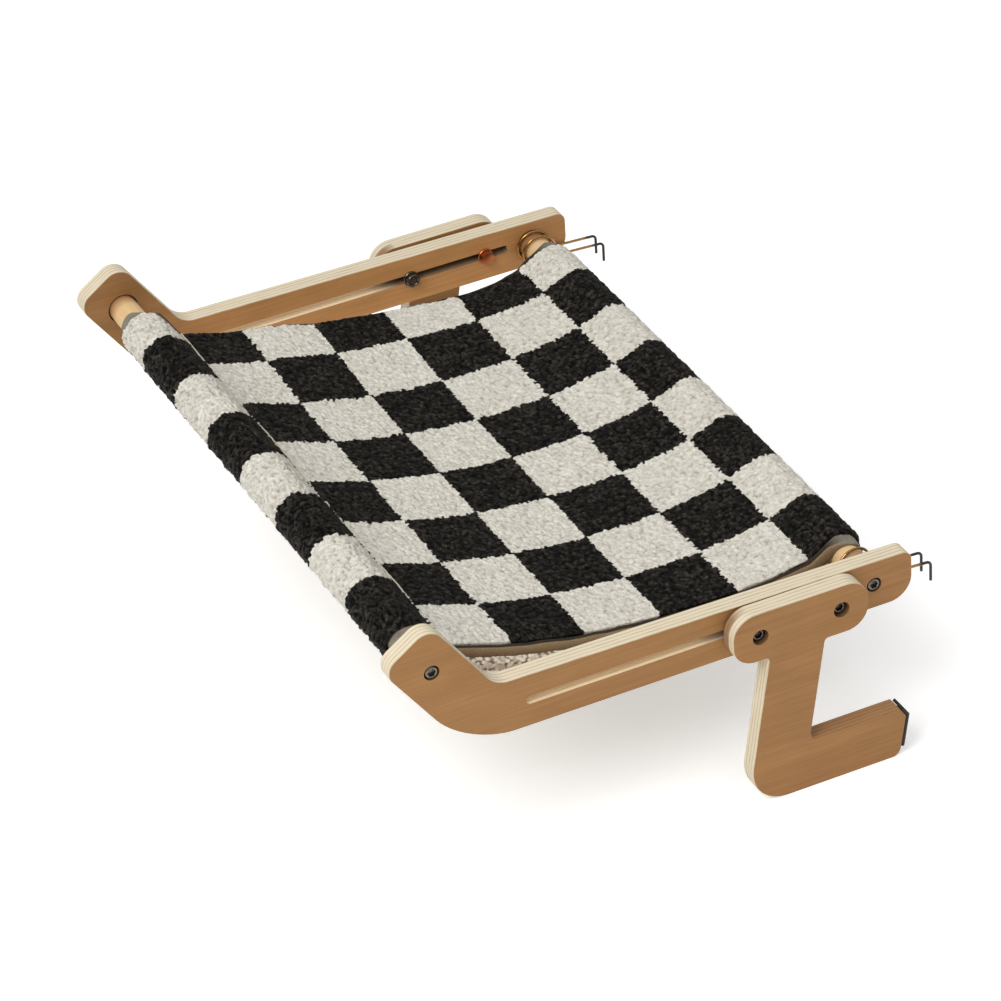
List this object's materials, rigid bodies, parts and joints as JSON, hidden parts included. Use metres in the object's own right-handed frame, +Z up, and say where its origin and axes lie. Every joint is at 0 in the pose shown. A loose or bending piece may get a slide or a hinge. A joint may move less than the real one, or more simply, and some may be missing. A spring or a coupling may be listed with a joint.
{
  "type": "cat window perch",
  "caption": "Padded cat perch slung between plywood side rails, held on a window sill by sliding clamp brackets with rubber-padded feet.",
  "frame": {"origin": "midway between the rails, under the rear dowel, on the plane of the rails' level undersides", "axes": "+X along the rails towards the window, +Y across to the left rail, +Z up"},
  "size_m": [0.3603, 0.49, 0.1904],
  "materials": {
    "plywood": "clear-lacquered layered plywood, bare pale edges",
    "dowel_wood": "smooth bare wood",
    "dark_steel": "dark oxide on steel, satin",
    "bronze_wire": "yellow-passivated spring wire, glossy",
    "zinc_steel": "zinc-plated",
    "black_rubber": "matte",
    "check_fleece": "black and off-white checked long-pile fleece",
    "plush_lining": "off-white pebbly plush",
    "binding_tape": "folded grey-brown edging tape"
  },
  "bodies": {
    "frame": {"front_dowel": "dowel_wood", "rear_dowel": "dowel_wood", "fleece_mat": "check_fleece", "mat_underside": "plush_lining", "left_rail": "plywood", "left_mat_binding": "binding_tape", "front_left_dowel_bolt": "dark_steel", "front_left_dowel_insert": "zinc_steel", "rear_left_dowel_bolt": "dark_steel", "rear_left_dowel_insert": "zinc_steel", "right_rail": "plywood", "right_mat_binding": "binding_tape", "front_right_dowel_bolt": "dark_steel", "front_right_dowel_insert": "zinc_steel", "rear_right_dowel_bolt": "dark_steel", "rear_right_dowel_insert": "zinc_steel"},
    "left_clamp": {"left_clamp_bracket": "plywood", "left_wall_pad": "black_rubber", "left_front_clamp_bolt": "dark_steel", "left_front_clamp_nut": "dark_steel", "left_front_clamp_washer": "zinc_steel", "left_rear_clamp_bolt": "dark_steel", "left_rear_clamp_nut": "dark_steel", "left_rear_clamp_washer": "zinc_steel"},
    "left_hook": {"left_spring_hook": "bronze_wire"},
    "right_clamp": {"right_clamp_bracket": "plywood", "right_wall_pad": "black_rubber", "right_front_clamp_bolt": "dark_steel", "right_front_clamp_nut": "dark_steel", "right_front_clamp_washer": "zinc_steel", "right_rear_clamp_bolt": "dark_steel", "right_rear_clamp_nut": "dark_steel", "right_rear_clamp_washer": "zinc_steel"},
    "right_hook": {"right_spring_hook": "bronze_wire"}
  },
  "joints": [
    {"name": "left_clamp_slide", "type": "slide", "parent": "frame", "child": "left_clamp", "axis": [1, 0, 0], "range_m": [-0.1386, 0.0141]},
    {"name": "left_hook_swing", "type": "hinge", "parent": "frame", "child": "left_hook", "pos_m": [0, 0.212, 0.0165], "axis": [0, 1, 0], "range_deg": [-60, 75]},
    {"name": "right_clamp_slide", "type": "slide", "parent": "frame", "child": "right_clamp", "axis": [1, 0, 0], "range_m": [-0.1427, 0.01]},
    {"name": "right_hook_swing", "type": "hinge", "parent": "frame", "child": "right_hook", "pos_m": [0, -0.212, 0.0165], "axis": [0, 1, 0], "range_deg": [-60, 75]}
  ]
}
